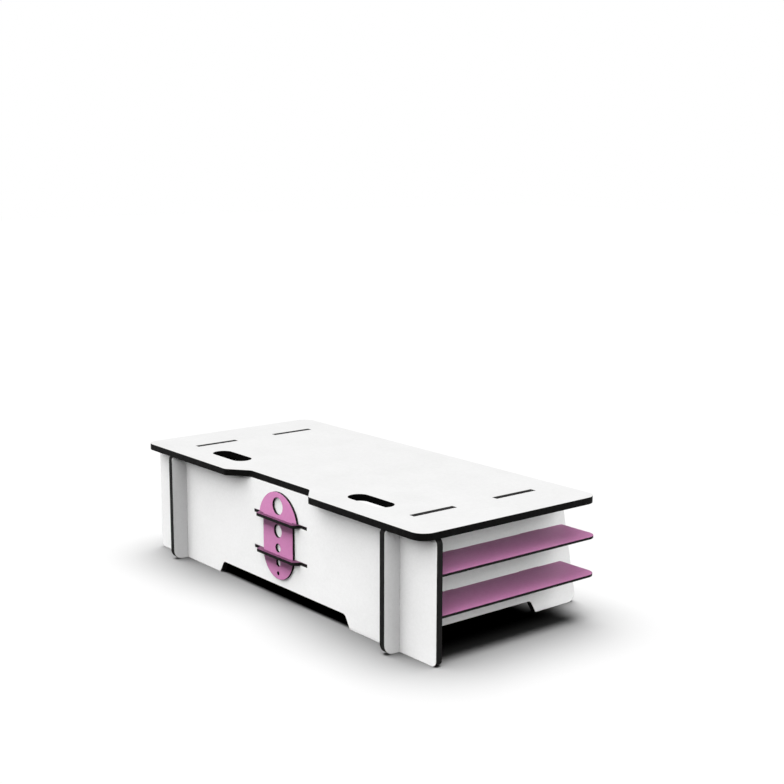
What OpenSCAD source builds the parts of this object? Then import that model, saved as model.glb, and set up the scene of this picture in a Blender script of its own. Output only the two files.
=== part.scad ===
// Flat-pack monitor riser: a top board on two side panels and a rear panel that
// slot through each other, a pair of thin shelves outside each side panel, and a
// lift-out tidy plate held against the rear panel by two slotted brackets.
// Units are millimetres. +X runs to the user's right, +Y to the rear, +Z up; the
// origin is on the floor under the middle of the whole stand.

/* [Top board] */
// Width of the top board, which is the width of the whole stand
top_w = 560; // [480:1:640]
// Depth of the top board, front edge to rear edge
top_d = 258; // [240:1:300]
// Height of the top face above the floor
stand_h = 144; // [130:1:180]
// Radius of the top board's four corners in plan
top_corner_r = 16.5; // [8:0.5:30]

/* [Boards] */
// Thickness of the top board, the side panels and the rear panel
board_t = 8; // [6:0.5:10]
// Thickness of the shelves and the tidy plate
thin_t = 3; // [2:0.5:4]
// Thickness of the two tidy brackets
bracket_t = 3.8; // [2:0.1:4.5]

/* [Side panels] */
// Distance from the middle of the stand to the middle of each side panel
side_x = 217; // [200:1:230]
// How far the front toe of a side panel stands out past the top board
toe_reach = 28; // [10:1:40]
// Radius of the front toe
toe_r = 10; // [6:1:14]
// Radius at the foot of a side panel's rear end
heel_r = 12; // [6:1:16]
// Radius at the top of a side panel's rear end
rear_top_r = 4; // [2:1:6]
// Length on the floor of each of a side panel's two feet
side_foot_l = 64; // [50:1:75]
// Length of each tab that rises through the top board
tab_l = 59.5; // [40:0.5:70]
// Gap between the two tabs of one side panel
tab_gap = 59; // [40:0.5:70]

/* [Rear panel] */
// How far the rear panel is set in from the rear edge of the top board
rear_inset = 20.5; // [14:0.5:26]
// Radius of the corners at the two ends of the rear panel
ear_r = 7; // [3:1:10]
// Distance between the rear panel's two feet, on the floor
rear_gap_w = 268.6; // [200:0.2:300]

/* [Cut-outs under the panels] */
// Height of the cut-outs between the feet
cutout_h = 15; // [10:1:20]
// Sideways run of the sloping end of each cut-out
cutout_run = 9; // [5:1:14]
// Radius that softens both ends of each slope
cutout_r = 6; // [3:0.5:7]

/* [Openings in the top board] */
// Length of each round-ended cable slot
cable_slot_l = 67.5; // [50:0.5:80]
// Width of each round-ended cable slot
cable_slot_w = 25; // [16:1:30]
// Distance from the middle of the stand to the middle of a cable slot
cable_slot_x = 141; // [120:1:150]
// Distance from the rear edge to the middle of a cable slot
cable_slot_inset = 45; // [40:1:50]
// Width of the rear recess at the board's edge
recess_outer_w = 172; // [150:1:190]
// Width of the rear recess at its floor
recess_inner_w = 120; // [100:1:130]
// Radius that softens the four corners of the rear recess
recess_r = 10; // [4:1:14]

/* [Shelves] */
// Height of the lower shelf's top face
lower_level = 53.7; // [45:0.1:60]
// Height from the lower level to the upper one
level_pitch = 44; // [36:1:50]
// How far a shelf's outer edge is set in from the end of the top board
shelf_inset = 1; // [0:0.5:10]
// Length of a shelf, forward from the rear panel
shelf_l = 232; // [200:1:240]
// Radius of a shelf's outer front corner
shelf_r = 14; // [4:1:20]
// Length of each shelf tab that goes through the side panel
shelf_tab_l = 30; // [16:1:40]
// Distance from a shelf's end to the nearer end of a tab
shelf_tab_inset = 36; // [20:1:50]

/* [Tidy brackets] */
// Length of the bracket's tab where it fills its slot in the rear panel
bracket_tab_w = 108; // [90:1:120]
// How far the bracket's bulge stands out behind the rear panel
bracket_out = 9; // [8:0.5:14]
// Width of the bulge where it leaves the rear panel
bulge_base_w = 84; // [80:1:88]
// Width of the bulge at its outer edge
bulge_nose_w = 74; // [70:1:78]
// Radius that softens the bulge's corners
bulge_r = 3; // [1:0.5:4]
// How far the stop flange behind the panel stands past each end of the tab
flange_over = 8; // [4:1:12]
// Depth of the stop flange behind the panel
flange_d = 8; // [5:1:12]

/* [Tidy plate] */
// Width of the plate's straight body
plate_w = 60.4; // [50:0.2:66]
// Height of the lowest point of the plate's round foot
plate_bottom = 24.4; // [22:0.1:30]
// Radius of the wider dome that rests on the upper bracket
dome_r = 39.3; // [36:0.1:40]
// Height of the dome's centre
dome_z = 90.2; // [89:0.1:92]
// Diameters of the five holes, from the top down
hole_d = [20.6, 15.8, 10.2, 8.6, 4.6]; // [4:0.2:24]
// Heights of the five hole centres, from the top down
hole_z = [112.7, 82.8, 62.3, 44.3, 31.5]; // [30:0.1:114]
// Gap kept all round the moving plate
slide_gap = 0.3; // [0.3:0.05:0.5]

/* [Hidden] */
$fn = 96;
white_face = "#f4f4f3";
pink_face = "#d487bc";
// Straight steps that make up each rounded corner of an outline
arc_steps = 10;
stand_d = top_d + toe_reach;
rear_y = stand_d / 2;
front_y = rear_y - top_d;
toe_y = -stand_d / 2;
board_mid_y = rear_y - top_d / 2;
under_top = stand_h - board_t;
rear_face_y = rear_y - rear_inset;
rear_back_y = rear_face_y - board_t;
half_lap = under_top / 2;
side_outer_x = side_x + board_t / 2;
side_inner_x = side_x - board_t / 2;
upper_level = lower_level + level_pitch;
// Undersides of the shelves, and of the tidy brackets level with them
lower_under = lower_level - thin_t;
upper_under = upper_level - thin_t;
tab_near = tab_gap / 2;
tab_far = tab_near + tab_l;
// The straight front edge runs from the top board's front edge to the round toe
toe_to_front = [front_y - (toe_y + toe_r), stand_h - toe_r];
rake = atan2(toe_to_front.x, toe_to_front.y) + asin(toe_r / norm(toe_to_front));
toe_corner_y = front_y - stand_h * tan(rake);
front_top_y = front_y - board_t * tan(rake);
shelf_rear_y = rear_back_y;
shelf_front_y = shelf_rear_y - shelf_l;
shelf_outer_x = top_w / 2 - shelf_inset;
shelf_tab_spans = [[shelf_front_y + shelf_tab_inset, shelf_front_y + shelf_tab_inset + shelf_tab_l],
                   [shelf_rear_y - shelf_tab_inset - shelf_tab_l, shelf_rear_y - shelf_tab_inset]];
plate_y = rear_face_y + slide_gap;
dome_seat = upper_under + bracket_t + slide_gap;
plate_foot_z = plate_bottom + plate_w / 2;
// Extra length where a cut runs out of a board or one shape runs into another
overlap = 1;

// Corner points are [u, v, r]: a place in the outline and the radius there
function unit(v) = v / norm(v);
function place(corner) = [corner[0], corner[1]];
function corner_arc(before, at, after, r) =
    r <= 0 ? [at] :
    let (u = unit(before - at),
         v = unit(after - at),
         half = acos(u * v) / 2,
         middle = at + unit(u + v) * r / sin(half),
         first = at + u * r / tan(half) - middle,
         last = at + v * r / tan(half) - middle,
         start = atan2(first.y, first.x),
         turn = (atan2(last.y, last.x) - start + 540) % 360 - 180)
    [for (i = [0 : arc_steps]) middle + r * [cos(start + turn * i / arc_steps),
                                             sin(start + turn * i / arc_steps)]];
function outline(corners) =
    let (n = len(corners))
    [for (i = [0 : n - 1]) each corner_arc(place(corners[(i + n - 1) % n]), place(corners[i]),
                                           place(corners[(i + 1) % n]), corners[i][2])];

// A flat board lying at height z, from an outline in X and Y
module lying(z, t) {
    translate([0, 0, z])
        linear_extrude(t)
            children();
}

// A board standing across the stand with its front at y, from an outline in X and Z
module standing_across(y, t) {
    translate([0, y + t, 0])
        rotate([90, 0, 0])
            linear_extrude(t)
                children();
}

// A board standing along the depth with its low side at x, from an outline in Y and Z
module standing_along(x, t) {
    translate([x, 0, 0])
        rotate([90, 0, 90])
            linear_extrude(t)
                children();
}

// Round-ended slot along X, centred on the origin
module pill(length, width) {
    for (s = [-1, 1])
        translate([s * (length - width) / 2, 0])
            circle(d = width);
    square([length - width, width], center = true);
}

// Gap under a panel between its two feet, with softly sloping ends
module foot_cutout(floor_w) {
    half = floor_w / 2;
    polygon(outline([[half + cutout_r, -cutout_r, 0], [half, 0, cutout_r],
                     [half - cutout_run, cutout_h, cutout_r],
                     [cutout_run - half, cutout_h, cutout_r], [-half, 0, cutout_r],
                     [-half - cutout_r, -cutout_r, 0]]));
}

module top_board() {
    half_w = top_w / 2;
    color(white_face)
        lying(under_top, board_t)
            difference() {
                polygon(outline([[half_w, front_y, top_corner_r], [half_w, rear_y, top_corner_r],
                                 [recess_outer_w / 2, rear_y, recess_r],
                                 [recess_inner_w / 2, rear_face_y, recess_r],
                                 [-recess_inner_w / 2, rear_face_y, recess_r],
                                 [-recess_outer_w / 2, rear_y, recess_r],
                                 [-half_w, rear_y, top_corner_r], [-half_w, front_y, top_corner_r]]));
                for (s = [-1, 1]) {
                    translate([s * cable_slot_x, rear_y - cable_slot_inset])
                        pill(cable_slot_l, cable_slot_w);
                    for (e = [-1, 1])
                        translate([s * side_x, board_mid_y + e * (tab_near + tab_far) / 2])
                            square([board_t, tab_l], center = true);
                }
            }
}

// Outline in Y and Z of a side panel, with the two tabs on its top edge
module side_outline() {
    tab_mid = (tab_near + tab_far) / 2;
    polygon(outline([[toe_corner_y, 0, toe_r], [rear_y, 0, heel_r],
                     [rear_y, under_top, rear_top_r], [front_top_y, under_top, 0]]));
    for (e = [-1, 1])
        translate([board_mid_y + e * tab_mid - tab_l / 2, under_top - overlap])
            square([tab_l, board_t + overlap]);
}

module side_panel(side) {
    color(white_face)
        standing_along(side * side_x - board_t / 2, board_t)
            difference() {
                side_outline();
                foot_cutout(stand_d - 2 * side_foot_l);
                translate([rear_back_y, -overlap])
                    square([board_t, half_lap + overlap]);
                for (under = [lower_under, upper_under], span = shelf_tab_spans)
                    translate([span[0], under])
                        square([span[1] - span[0], thin_t]);
            }
}

module left_side_panel() { side_panel(-1); }
module right_side_panel() { side_panel(1); }

module rear_panel() {
    half_w = top_w / 2;
    color(white_face)
        standing_across(rear_back_y, board_t)
            difference() {
                polygon(outline([[-half_w, 0, ear_r], [half_w, 0, ear_r],
                                 [half_w, under_top, ear_r], [-half_w, under_top, ear_r]]));
                foot_cutout(rear_gap_w);
                for (s = [-1, 1])
                    translate([s * side_x - board_t / 2, half_lap])
                        square([board_t, half_lap + overlap]);
                for (under = [lower_under, upper_under])
                    translate([-bracket_tab_w / 2, under])
                        square([bracket_tab_w, bracket_t]);
            }
}

// A shelf outside one side panel; side is -1 on the left and 1 on the right
module shelf(side, under) {
    color(pink_face)
        lying(under, thin_t)
            scale([side, 1]) {
                polygon(outline([[side_outer_x, shelf_front_y, 0],
                                 [shelf_outer_x, shelf_front_y, shelf_r],
                                 [shelf_outer_x, shelf_rear_y, 0],
                                 [side_outer_x, shelf_rear_y, 0]]));
                for (span = shelf_tab_spans)
                    translate([side_inner_x, span[0]])
                        square([board_t + overlap, span[1] - span[0]]);
            }
}

module left_lower_shelf() { shelf(-1, lower_under); }
module left_upper_shelf() { shelf(-1, upper_under); }
module right_lower_shelf() { shelf(1, lower_under); }
module right_upper_shelf() { shelf(1, upper_under); }

// Bracket pushed through the rear panel from inside until its flange stops it
module tidy_bracket(under) {
    tab_half = bracket_tab_w / 2;
    flange_half = tab_half + flange_over;
    nose_y = rear_face_y + bracket_out;
    color(pink_face)
        lying(under, bracket_t)
            difference() {
                polygon(outline([[-flange_half, rear_back_y - flange_d, bulge_r],
                                 [flange_half, rear_back_y - flange_d, bulge_r],
                                 [flange_half, rear_back_y, 0], [tab_half, rear_back_y, 0],
                                 [tab_half, rear_face_y, 0],
                                 [bulge_base_w / 2, rear_face_y, bulge_r],
                                 [bulge_nose_w / 2, nose_y, bulge_r],
                                 [-bulge_nose_w / 2, nose_y, bulge_r],
                                 [-bulge_base_w / 2, rear_face_y, bulge_r],
                                 [-tab_half, rear_face_y, 0], [-tab_half, rear_back_y, 0],
                                 [-flange_half, rear_back_y, 0]]));
                translate([-plate_w / 2 - slide_gap, rear_face_y])
                    square([plate_w + 2 * slide_gap, thin_t + 2 * slide_gap]);
            }
}

module lower_tidy_bracket() { tidy_bracket(lower_under); }
module upper_tidy_bracket() { tidy_bracket(upper_under); }

// Plate that lifts straight up out of both brackets; its dome rests on the upper one
module tidy_plate() {
    color(pink_face)
        standing_across(plate_y, thin_t)
            difference() {
                union() {
                    intersection() {
                        translate([0, dome_z])
                            circle(r = dome_r);
                        translate([-dome_r, dome_seat])
                            square([2 * dome_r, 2 * dome_r]);
                    }
                    translate([-plate_w / 2, plate_foot_z])
                        square([plate_w, dome_seat + overlap - plate_foot_z]);
                    translate([0, plate_foot_z])
                        circle(d = plate_w);
                }
                for (i = [0 : len(hole_d) - 1])
                    translate([0, hole_z[i]])
                        circle(d = hole_d[i]);
            }
}

top_board();
left_side_panel();
right_side_panel();
rear_panel();
left_lower_shelf();
left_upper_shelf();
right_lower_shelf();
right_upper_shelf();
lower_tidy_bracket();
upper_tidy_bracket();
tidy_plate();
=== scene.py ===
"""Monitor riser stand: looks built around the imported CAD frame. Metres, +Z up."""

import math

import bpy
from mathutils import Matrix, Vector
from mathutils.geometry import tessellate_polygon


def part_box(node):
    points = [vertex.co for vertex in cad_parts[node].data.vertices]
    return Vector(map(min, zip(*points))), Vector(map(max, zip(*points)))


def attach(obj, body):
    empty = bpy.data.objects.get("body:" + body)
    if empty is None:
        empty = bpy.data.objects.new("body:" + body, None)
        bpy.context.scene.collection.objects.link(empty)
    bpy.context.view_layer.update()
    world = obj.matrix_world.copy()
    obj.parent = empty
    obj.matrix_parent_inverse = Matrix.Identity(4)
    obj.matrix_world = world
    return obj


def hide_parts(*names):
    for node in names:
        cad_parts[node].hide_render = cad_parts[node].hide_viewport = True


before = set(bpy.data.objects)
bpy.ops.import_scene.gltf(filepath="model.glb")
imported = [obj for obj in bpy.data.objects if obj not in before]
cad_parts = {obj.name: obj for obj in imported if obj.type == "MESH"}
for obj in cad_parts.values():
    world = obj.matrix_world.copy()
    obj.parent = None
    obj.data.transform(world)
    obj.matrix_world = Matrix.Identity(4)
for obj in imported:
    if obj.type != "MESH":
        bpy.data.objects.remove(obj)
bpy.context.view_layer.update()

# The board's normal axis for each CAD node (0 = X, 1 = Y, 2 = Z), its body and its finish
BOARDS = {
    "top_board": (2, "stand", "white_board"),
    "left_side_panel": (0, "stand", "white_board"),
    "right_side_panel": (0, "stand", "white_board"),
    "rear_panel": (1, "stand", "white_board"),
    "left_lower_shelf": (2, "stand", "pink_board"),
    "left_upper_shelf": (2, "stand", "pink_board"),
    "right_lower_shelf": (2, "stand", "pink_board"),
    "right_upper_shelf": (2, "stand", "pink_board"),
    "lower_tidy_bracket": (2, "stand", "pink_board"),
    "upper_tidy_bracket": (2, "stand", "pink_board"),
    "tidy_plate": (1, "plate", "pink_board"),
}

ARRIS = 0.0004          # radius worn onto each cut edge
RIM = 0.0016            # band of face beside a cut edge that shows the cutting heat
SMOOTH_TURN = 30.0      # degrees; an outline that turns less than this at a point is a curve
SAME_PLACE = 1e-6       # points closer than this are one point
STRAIGHT = 1e-3         # sine of a turn too small to keep a point for

CAMERA_PLACE = (-1.26085, 0.97457, 0.51523)
CAMERA_HEADING = 128.968    # degrees from +Y towards +X
CAMERA_PITCH = -10.005
CAMERA_ROLL = 0.154
CAMERA_LENS_MM = 61.6
CAMERA_SENSOR_MM = 36
FLOOR_REACH = 9
FLOOR_GAP = 0.0002      # keeps the floor and the underside of the feet apart
BACKDROP_SEEN = 1.0     # the world's brightness as the camera sees it
BACKDROP_LIGHT = 0.06   # and as it lights the stand


# ---------------------------------------------------------------- board shapes

def face_loops(node, axis):
    """The closed outlines of a board's flat face, material on the left, from its CAD solid."""
    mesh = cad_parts[node].data
    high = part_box(node)[1][axis]
    u, v = (axis + 1) % 3, (axis + 2) % 3
    edges = set()
    for poly in mesh.polygons:
        corners = [mesh.vertices[i].co for i in poly.vertices]
        if all(abs(co[axis] - high) < SAME_PLACE for co in corners):
            flat = [(round(co[u], 7), round(co[v], 7)) for co in corners]
            for a, b in zip(flat, flat[1:] + flat[:1]):
                if (b, a) in edges:
                    edges.remove((b, a))
                elif a != b:
                    edges.add((a, b))
    after = dict(sorted(edges))
    loops = []
    while after:
        start = min(after)
        loop, at = [], start
        while at in after:
            loop.append(at)
            at = after.pop(at)
        loops.append(clean_loop([Vector(p) for p in loop]))
    return loops


def clean_loop(points):
    """The loop without points that lie on a straight run."""
    kept = []
    for i, p in enumerate(points):
        a, b = p - points[i - 1], points[(i + 1) % len(points)] - p
        if a.length > SAME_PLACE and abs(a.normalized().cross(b.normalized())) > STRAIGHT:
            kept.append(p)
    return kept


def directions(loop):
    """Each segment's direction; segment i runs from point i to point i + 1."""
    return [(loop[(i + 1) % len(loop)] - p).normalized() for i, p in enumerate(loop)]


def inset(loop, distance):
    """The loop moved into the material by distance, with mitred corners."""
    dirs = directions(loop)
    moved = []
    for i, p in enumerate(loop):
        n0 = Vector((-dirs[i - 1].y, dirs[i - 1].x))
        n1 = Vector((-dirs[i].y, dirs[i].x))
        moved.append(p + (n0 + n1) * distance / (1 + n0.dot(n1)))
    return moved


def end_normals(loop):
    """For each segment, the outward normals at its start and its end."""
    dirs = directions(loop)
    own = [Vector((d.y, -d.x)) for d in dirs]
    limit = math.cos(math.radians(SMOOTH_TURN))

    def at_point(i, mine):
        before, after = own[i - 1], own[i]
        return (before + after).normalized() if before.dot(after) > limit else mine

    return [(at_point(i, n), at_point((i + 1) % len(own), n)) for i, n in enumerate(own)]


class BoardMesh:
    """Vertices, faces, corner normals and the rim value of one board."""

    def __init__(self, axis, low, high):
        self.axis, self.low, self.high = axis, low, high
        self.points, self.faces, self.normals, self.slots, self.rims = [], [], [], [], []

    def point(self, uv, depth, top, rim):
        """A vertex at uv, a depth below the high face or above the low one."""
        co = [0.0, 0.0, 0.0]
        co[(self.axis + 1) % 3], co[(self.axis + 2) % 3] = uv
        co[self.axis] = self.high - depth if top else self.low + depth
        self.points.append(co)
        self.rims.append(rim)
        return len(self.points) - 1

    def normal(self, flat, lean, top):
        """Outward normal that leans from the face's own (0) to the outline's (1)."""
        n = [0.0, 0.0, 0.0]
        side = math.sin(lean * math.pi / 2)
        n[(self.axis + 1) % 3], n[(self.axis + 2) % 3] = flat.x * side, flat.y * side
        n[self.axis] = math.cos(lean * math.pi / 2) * (1 if top else -1)
        return n

    def face(self, corners, normals, slot, flip):
        """Adds a face; flip turns it over for the low side."""
        if flip:
            corners, normals = corners[::-1], normals[::-1]
        self.faces.append(corners)
        self.normals.extend(normals)
        self.slots.append(slot)

    def side(self, loops, top):
        """One face of the board: cap, heated rim and rounded arris. Returns its outer rings."""
        rings, caps = [], []
        for loop in loops:
            ends = end_normals(loop)
            bend = ARRIS * (1 - math.sqrt(0.5))
            # Inset from the outline, depth below the face, lean of the normal, rim value
            profile = [(ARRIS + RIM, 0, 0, 0), (ARRIS, 0, 0, 1), (bend, bend, 0.5, 1),
                       (0, ARRIS, 1, 1)]
            rows = [[self.point(p, depth, top, rim) for p in inset(loop, inward)]
                    for inward, depth, lean, rim in profile]
            for step in range(3):
                inner, outer = rows[step], rows[step + 1]
                lean_in, lean_out = profile[step][2], profile[step + 1][2]
                for i in range(len(loop)):
                    j = (i + 1) % len(loop)
                    a, b = ends[i]
                    self.face([outer[i], outer[j], inner[j], inner[i]],
                              [self.normal(a, lean_out, top), self.normal(b, lean_out, top),
                               self.normal(b, lean_in, top), self.normal(a, lean_in, top)],
                              1 if step == 2 else 0, not top)
            caps.append(rows[0])
            rings.append(rows[3])
        flat_points = [i for ring in caps for i in ring]
        u, v = (self.axis + 1) % 3, (self.axis + 2) % 3
        polylines = [[Vector((self.points[i][u], self.points[i][v], 0)) for i in ring]
                     for ring in caps]
        up = self.normal(Vector((0, 0)), 0, top)
        for tri in tessellate_polygon(polylines):
            corners = [flat_points[i] for i in tri]
            a, b, c = (Vector((self.points[i][u], self.points[i][v])) for i in corners)
            if (b - a).cross(c - a) < 0:
                corners.reverse()
            self.face(corners, [up] * 3, 0, not top)
        return rings

    def wall(self, loop, high_ring, low_ring):
        """The cut edge between the two arrises."""
        ends = end_normals(loop)
        for i in range(len(loop)):
            j = (i + 1) % len(loop)
            a, b = (self.normal(n, 1, True) for n in ends[i])
            self.face([low_ring[i], low_ring[j], high_ring[j], high_ring[i]],
                      [a, b, b, a], 1, False)


def board_piece(node, axis, body, face_material, core_material):
    """A detailed board that stands for one CAD node."""
    low, high = (corner[axis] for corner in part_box(node))
    loops = face_loops(node, axis)
    made = BoardMesh(axis, low, high)
    high_rings = made.side(loops, True)
    low_rings = made.side(loops, False)
    for loop, high_ring, low_ring in zip(loops, high_rings, low_rings):
        made.wall(loop, high_ring, low_ring)
    mesh = bpy.data.meshes.new(node + "_piece")
    mesh.from_pydata(made.points, [], made.faces, shade_flat=False)
    mesh.polygons.foreach_set("material_index", made.slots)
    rim = mesh.attributes.new("rim", "FLOAT", "POINT")
    rim.data.foreach_set("value", made.rims)
    mesh.materials.append(face_material)
    mesh.materials.append(core_material)
    mesh.normals_split_custom_set(made.normals)
    mesh.update()
    piece = bpy.data.objects.new(node + "_piece", mesh)
    bpy.context.scene.collection.objects.link(piece)
    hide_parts(node)
    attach(piece, body)
    return piece


# ------------------------------------------------------------------ materials

def grey(value):
    return (value, value, value, 1)


class Nodes:
    """Short hand for building one material's node tree."""

    def __init__(self, name):
        self.material = bpy.data.materials.new(name)
        self.material.use_nodes = True
        self.tree = self.material.node_tree
        self.shader = self.tree.nodes["Principled BSDF"]
        self.place = self.add("ShaderNodeTexCoord").outputs["Object"]

    def add(self, kind, inputs=None, **settings):
        made = self.tree.nodes.new(kind)
        for key, value in settings.items():
            setattr(made, key, value)
        for key, value in (inputs or {}).items():
            self.put(made.inputs[key], value)
        return made

    def put(self, socket, value):
        """Links another node's output to the socket, or sets the socket to a value."""
        if isinstance(value, bpy.types.NodeSocket):
            self.tree.links.new(value, socket)
        else:
            socket.default_value = value

    def stretched(self, scale):
        """Object coordinates multiplied by a scale for each axis."""
        return self.add("ShaderNodeMapping", {"Vector": self.place, "Scale": scale}).outputs[0]

    def noise(self, scale, detail, roughness, vector=None):
        return self.add("ShaderNodeTexNoise", {
            "Vector": vector or self.place, "Scale": scale, "Detail": detail,
            "Roughness": roughness}).outputs["Fac"]

    def remap(self, value, low, high, to_low=0.0, to_high=1.0, smooth=False):
        """The value with low to high spread over to_low to to_high, and held beyond them."""
        return self.add("ShaderNodeMapRange", {
            "Value": value, "From Min": low, "From Max": high, "To Min": to_low,
            "To Max": to_high},
            interpolation_type="SMOOTHSTEP" if smooth else "LINEAR").outputs["Result"]

    def math(self, operation, a, b):
        return self.add("ShaderNodeMath", {0: a, 1: b}, operation=operation).outputs[0]

    def mix(self, share, a, b):
        """Colour a where share is 0 and b where it is 1."""
        made = self.add("ShaderNodeMix", data_type="RGBA")
        for socket, value in ((made.inputs[0], share), (made.inputs[6], a), (made.inputs[7], b)):
            self.put(socket, value)
        return made.outputs[2]

    def bump(self, height, strength, distance, normal=None):
        inputs = {"Height": height, "Strength": strength, "Distance": distance}
        if normal is not None:
            inputs["Normal"] = normal
        return self.add("ShaderNodeBump", inputs).outputs["Normal"]

    def finish(self, colour, roughness, normal, specular):
        """Sets up the shader and returns the material."""
        self.put(self.shader.inputs["Base Color"], colour)
        self.put(self.shader.inputs["Roughness"], roughness)
        self.put(self.shader.inputs["Normal"], normal)
        self.shader.inputs["Specular IOR Level"].default_value = specular
        return self.material


def laminate(name, clean, dull, scorched, specular):
    """A matt melamine face: pressed grain, faint cloudiness, handling marks, and heat
    marks along the cut."""
    n = Nodes(name)
    grain = n.noise(2200, 3, 0.65)
    pebble = n.noise(620, 3, 0.55)
    cloud = n.remap(n.noise(14, 4, 0.6), 0.35, 0.65)
    mottle = n.remap(n.noise(260, 3, 0.6), 0.35, 0.65)
    speck = n.remap(n.noise(1300, 2, 0.6), 0.35, 0.65)
    rim = n.add("ShaderNodeAttribute", attribute_name="rim").outputs["Fac"]
    ragged = n.math("MULTIPLY", rim, n.remap(n.noise(420, 3, 0.7), 0.3, 0.75, 0.35, 1.0))
    heat = n.remap(ragged, 0.35, 1.0, smooth=True)
    tone = n.math("ADD", n.math("MULTIPLY", cloud, 0.35),
                  n.math("ADD", n.math("MULTIPLY", mottle, 0.30),
                         n.math("MULTIPLY", speck, 0.35)))
    scratch = n.remap(n.noise(1.0, 4, 0.7, n.stretched((1100, 45, 260))), 0.60, 0.74)
    handled = n.remap(n.noise(9, 3, 0.5), 0.50, 0.68, smooth=True)
    scuff = n.math("MULTIPLY", scratch, handled)
    face = n.mix(tone, clean, dull)
    worn = n.mix(n.math("MULTIPLY", scuff, 0.18), face, scorched)
    colour = n.mix(n.math("MULTIPLY", heat, 0.5), worn, scorched)
    roughness = n.math("ADD", n.remap(pebble, 0.3, 0.7, 0.40, 0.58),
                       n.math("MULTIPLY", scuff, 0.15))
    normal = n.bump(pebble, 0.45, 0.00022, n.bump(grain, 0.45, 0.00008))
    return n.finish(colour, roughness, normal, specular)


def core(name, along):
    """The black cut edge: fine pressed layers through the thickness, and laser ridges across."""
    n = Nodes(name)
    layer_scale = [60, 60, 60]
    layer_scale[along] = 2600
    ridge_scale = [1500, 1500, 1500]
    ridge_scale[along] = 40
    layers = n.noise(1.0, 2, 0.5, n.stretched(layer_scale))
    ridges = n.noise(1.0, 3, 0.6, n.stretched(ridge_scale))
    fibre = n.noise(1800, 3, 0.7)
    mottle = n.math("MULTIPLY", n.remap(layers, 0.35, 0.7),
                    n.remap(fibre, 0.35, 0.7, 0.3, 1.0))
    colour = n.mix(mottle, grey(0.0025), (0.017, 0.016, 0.0155, 1))
    roughness = n.remap(ridges, 0.3, 0.7, 0.45, 0.78)
    normal = n.bump(ridges, 0.6, 0.00018, n.bump(fibre, 0.5, 0.00008))
    return n.finish(colour, roughness, normal, 0.08)


def paper_floor():
    """Pale matt studio floor with painted shade: its colour falls off to black between the
    panels, where the stand's shadow lies.
    """
    panel_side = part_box("right_side_panel")[1][0]
    shelf_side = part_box("right_lower_shelf")[1][0]
    rear_inside, rear_outside = (corner[1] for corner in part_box("rear_panel"))
    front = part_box("top_board")[0][1]
    n = Nodes("studio_floor")
    tone = n.noise(3, 3, 0.5)
    pale = n.mix(tone, grey(0.93), grey(0.96))
    where = n.add("ShaderNodeSeparateXYZ", {"Vector": n.place}).outputs
    across = n.remap(n.math("ABSOLUTE", where["X"], 0.0), panel_side + 0.004,
                     shelf_side - 0.004, 1.0, 0.0, smooth=True)
    ahead = n.remap(where["Y"], front - 0.02, front + 0.05, smooth=True)
    behind = n.remap(where["Y"], rear_inside, rear_outside, 1.0, 0.0, smooth=True)
    # painted shade: black mixed into the floor's colour between the side panels (fading out
    # under the shelves), from just behind the front edge to the rear panel
    shade = n.math("MULTIPLY", across, n.math("MULTIPLY", ahead, behind))
    colour = n.mix(shade, pale, grey(0.0))
    return n.finish(colour, n.remap(tone, 0.3, 0.7, 0.85, 0.95),
                    n.bump(n.noise(500, 2, 0.5), 0.05, 0.0001), 0.0)


faces = {
    "white_board": laminate("white_laminate", grey(0.885),
                            (0.80, 0.80, 0.797, 1), (0.52, 0.50, 0.47, 1), 0.05),
    "pink_board": laminate("pink_laminate", (0.655, 0.26, 0.505, 1),
                           (0.575, 0.21, 0.43, 1), (0.25, 0.08, 0.18, 1), 0.25),
}
cores = [core("black_core_" + "xyz"[axis], axis) for axis in range(3)]

pieces = [board_piece(node, axis, body, faces[slot], cores[axis])
          for node, (axis, body, slot) in BOARDS.items()]


# ------------------------------------------------------- floor, light, camera

floor_mesh = bpy.data.meshes.new("floor")
floor_mesh.from_pydata([(x * FLOOR_REACH, y * FLOOR_REACH, 0)
                        for x, y in ((-1, -1), (1, -1), (1, 1), (-1, 1))], [], [(0, 1, 2, 3)])
floor_mesh.materials.append(paper_floor())
floor = bpy.data.objects.new("floor", floor_mesh)
floor.location.z = -FLOOR_GAP
bpy.context.scene.collection.objects.link(floor)


def sun(name, strength, width, azimuth, elevation, receivers):
    """A soft distant lamp seen from the stand at that azimuth (from +X towards +Y) and
    elevation, width degrees wide, that lights only the objects in receivers."""
    data = bpy.data.lights.new(name, "SUN")
    data.energy = strength
    data.angle = math.radians(width)
    lamp = bpy.data.objects.new(name, data)
    turn, lift = math.radians(azimuth), math.radians(elevation)
    towards = Vector((math.cos(turn) * math.cos(lift), math.sin(turn) * math.cos(lift),
                      math.sin(lift)))
    lamp.rotation_euler = towards.to_track_quat("Z", "Y").to_euler()
    bpy.context.scene.collection.objects.link(lamp)
    lamp.light_linking.receiver_collection = receivers


def group(name, objects):
    """A collection that lamps are aimed at."""
    made = bpy.data.collections.new(name)
    for o in objects:
        made.objects.link(o)
    return made


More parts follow.
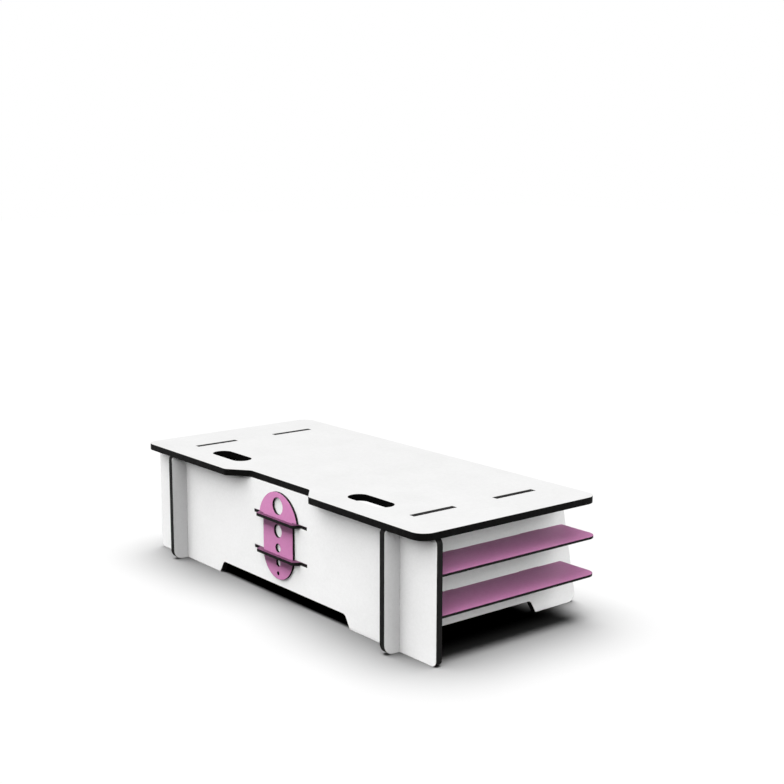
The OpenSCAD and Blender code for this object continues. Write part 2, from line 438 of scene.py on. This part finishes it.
top, below = pieces[0], pieces[1:]
panels, shelves, brackets, plate = below[:3], below[3:7], below[7:9], below[9]
on_top = group("lit_top", [top])
on_panels = group("lit_panels", panels)
on_boards = group("lit_boards", panels + shelves)
on_inner = group("lit_inner", shelves + brackets)
on_brackets = group("lit_brackets", brackets)
on_plate = group("lit_plate", [plate])
on_all_below = group("lit_all_below", below)
on_floor = group("lit_floor", [floor])
sun("floor_softbox", 3.25, 60, 345, 83, on_floor)
sun("top_softbox", 3.46, 60, 90, 80, on_top)
sun("rear_softbox", 3.72, 76, 82, 48, on_boards)
sun("bracket_softbox", 2.2, 50, 82, 14, on_brackets)
sun("plate_softbox", 8.8, 40, 82, 73, on_plate)
sun("left_softbox", 2.5, 80, 160, 7, on_all_below)
sun("front_softbox", 3.2, 64, 232, 42, on_panels)
sun("front_fill", 1.1, 64, 232, 42, on_inner)
sun("right_softbox", 1.9, 70, 0, 35, on_boards)

world = bpy.data.worlds.new("studio")
world.use_nodes = True
sky = world.node_tree.nodes["Background"]
seen = world.node_tree.nodes.new("ShaderNodeBackground")
for backdrop, strength in ((sky, BACKDROP_LIGHT), (seen, BACKDROP_SEEN)):
    backdrop.inputs["Color"].default_value = grey(1)
    backdrop.inputs["Strength"].default_value = strength
rays = world.node_tree.nodes.new("ShaderNodeLightPath")
choice = world.node_tree.nodes.new("ShaderNodeMixShader")
links = world.node_tree.links
links.new(rays.outputs["Is Camera Ray"], choice.inputs[0])
links.new(sky.outputs[0], choice.inputs[1])
links.new(seen.outputs[0], choice.inputs[2])
links.new(choice.outputs[0], world.node_tree.nodes["World Output"].inputs["Surface"])
bpy.context.scene.world = world
bpy.context.scene.view_settings.view_transform = "Standard"
bpy.context.scene.cycles.diffuse_bounces = 0    # leaves the inside of the stand dark

camera_data = bpy.data.cameras.new("camera")
camera_data.lens = CAMERA_LENS_MM
camera_data.sensor_width = CAMERA_SENSOR_MM
camera = bpy.data.objects.new("camera", camera_data)
camera.matrix_world = (
    Matrix.Translation(CAMERA_PLACE)
    @ Matrix.Rotation(math.radians(-CAMERA_HEADING), 4, "Z")
    @ Matrix.Rotation(math.radians(90 + CAMERA_PITCH), 4, "X")
    @ Matrix.Rotation(math.radians(CAMERA_ROLL), 4, "Z"))
bpy.context.scene.collection.objects.link(camera)
bpy.context.scene.camera = camera

bpy.context.view_layer.update()
